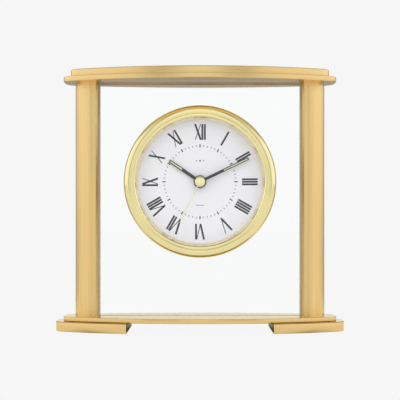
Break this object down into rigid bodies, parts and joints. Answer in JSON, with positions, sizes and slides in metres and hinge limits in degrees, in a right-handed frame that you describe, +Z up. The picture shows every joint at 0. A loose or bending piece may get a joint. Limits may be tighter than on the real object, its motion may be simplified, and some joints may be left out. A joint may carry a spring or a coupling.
{
  "type": "mantel clock",
  "caption": "Rectangular glass-fronted mantel clock with a bow-fronted satin gold frame and a round quartz insert with roman numerals.",
  "frame": {"origin": "on the resting surface, under the middle of the clock's bounding box", "axes": "+Z up, the dial faces -Y, +X to the right of a person reading the dial"},
  "size_m": [0.1802, 0.056, 0.1638],
  "materials": {
    "satin_gold": "satin brushed, gold anodised",
    "plated_steel": "zinc plated, semi-bright",
    "felt": "pressed felt",
    "panel_glass": "clear, polished edges",
    "lens_glass": "clear",
    "polished_brass": "mirror polished, lacquered",
    "dial_paint": "silvery white painted dial, printed numerals",
    "black_plastic": "fine moulded texture",
    "rubber": "matt",
    "glazing_strip": "dark bronze-grey vinyl channel",
    "black_hand": "semi-matt black with pale luminous inlay",
    "gear_plastic": "natural acetal",
    "grey_plastic": "satin",
    "nickel": "nickel plated",
    "core_steel": "soft iron lamination",
    "coil_winding": "enamelled wire",
    "circuit_board": "green solder mask",
    "battery_wrap": "plain printed sleeve"
  },
  "bodies": {
    "frame": {"cap_plate": "satin_gold", "top_plate": "satin_gold", "base_plate": "satin_gold", "foot_left": "satin_gold", "foot_right": "satin_gold", "pillar_left": "satin_gold", "pillar_right": "satin_gold", "tie_rod_left": "plated_steel", "tie_rod_right": "plated_steel", "upper_nut_left": "plated_steel", "upper_nut_right": "plated_steel", "lower_nut_left": "plated_steel", "lower_nut_right": "plated_steel", "cap_screw_left": "plated_steel", "cap_screw_right": "plated_steel", "foot_screw_left": "plated_steel", "foot_screw_right": "plated_steel", "foot_pad_front_left": "felt", "foot_pad_front_right": "felt", "foot_pad_rear_left": "felt", "foot_pad_rear_right": "felt", "glass_panel": "panel_glass", "dial_glass": "lens_glass", "bezel": "polished_brass", "reflector_ring": "polished_brass", "dial_plate": "dial_paint", "insert_case": "black_plastic", "movement_front_plate": "black_plastic", "movement_rear_case": "black_plastic", "gasket_ring": "rubber", "retaining_ring": "rubber", "glazing_channel": "glazing_strip", "quartz_crystal": "nickel", "contact_positive": "nickel", "contact_negative": "nickel", "stator": "core_steel", "coil_core": "core_steel", "coil": "coil_winding", "circuit_board": "circuit_board"},
    "second_hand_group": {"second_hand": "polished_brass", "second_wheel": "gear_plastic"},
    "fifth_wheel_body": {"fifth_wheel": "gear_plastic"},
    "rotor_body": {"rotor": "grey_plastic"},
    "third_wheel_body": {"third_wheel": "gear_plastic"},
    "centre_wheel_body": {"centre_wheel": "gear_plastic"},
    "minute_hand_group": {"minute_hand": "black_hand", "cannon_pinion": "nickel"},
    "minute_wheel_body": {"minute_wheel": "gear_plastic"},
    "hour_hand_group": {"hour_hand": "black_hand", "hour_wheel": "gear_plastic"},
    "setting_knob_body": {"setting_knob": "grey_plastic"},
    "battery_body": {"battery": "battery_wrap"}
  },
  "joints": [
    {"name": "second_hand_turn", "type": "hinge", "parent": "frame", "child": "second_hand_group", "pos_m": [0, 0, 0.0936], "axis": [0, 1, 0], "continuous": true},
    {"name": "fifth_wheel_turn", "type": "hinge", "parent": "frame", "child": "fifth_wheel_body", "pos_m": [0.00691, 0, 0.09109], "axis": [0, 1, 0], "continuous": true},
    {"name": "rotor_turn", "type": "hinge", "parent": "frame", "child": "rotor_body", "pos_m": [0.01283, 0, 0.09324], "axis": [0, 1, 0], "continuous": true},
    {"name": "third_wheel_turn", "type": "hinge", "parent": "frame", "child": "third_wheel_body", "pos_m": [0.0054, 0, 0.10295], "axis": [0, 1, 0], "continuous": true},
    {"name": "centre_wheel_turn", "type": "hinge", "parent": "frame", "child": "centre_wheel_body", "pos_m": [0, 0, 0.0936], "axis": [0, 1, 0], "continuous": true},
    {"name": "minute_hand_turn", "type": "hinge", "parent": "frame", "child": "minute_hand_group", "pos_m": [0, 0, 0.0936], "axis": [0, 1, 0], "continuous": true},
    {"name": "minute_wheel_turn", "type": "hinge", "parent": "frame", "child": "minute_wheel_body", "pos_m": [-0.0096, 0, 0.0936], "axis": [0, 1, 0], "continuous": true},
    {"name": "hour_hand_turn", "type": "hinge", "parent": "frame", "child": "hour_hand_group", "pos_m": [0, 0, 0.0936], "axis": [0, 1, 0], "continuous": true},
    {"name": "setting_knob_turn", "type": "hinge", "parent": "frame", "child": "setting_knob_body", "pos_m": [-0.0144, 0, 0.10191], "axis": [0, 1, 0], "continuous": true},
    {"name": "battery_slide", "type": "slide", "parent": "frame", "child": "battery_body", "axis": [0, 1, 0], "range_m": [0, 0.018]}
  ],
  "couplings": [
    {"joint": "fifth_wheel_turn", "follows": "second_hand_turn", "ratio": -6},
    {"joint": "rotor_turn", "follows": "second_hand_turn", "ratio": 30},
    {"joint": "third_wheel_turn", "follows": "second_hand_turn", "ratio": -0.13333},
    {"joint": "centre_wheel_turn", "follows": "second_hand_turn", "ratio": 0.016667},
    {"joint": "minute_wheel_turn", "follows": "minute_hand_turn", "ratio": -0.33333},
    {"joint": "hour_hand_turn", "follows": "minute_hand_turn", "ratio": 0.083333},
    {"joint": "setting_knob_turn", "follows": "minute_hand_turn", "ratio": 1}
  ]
}
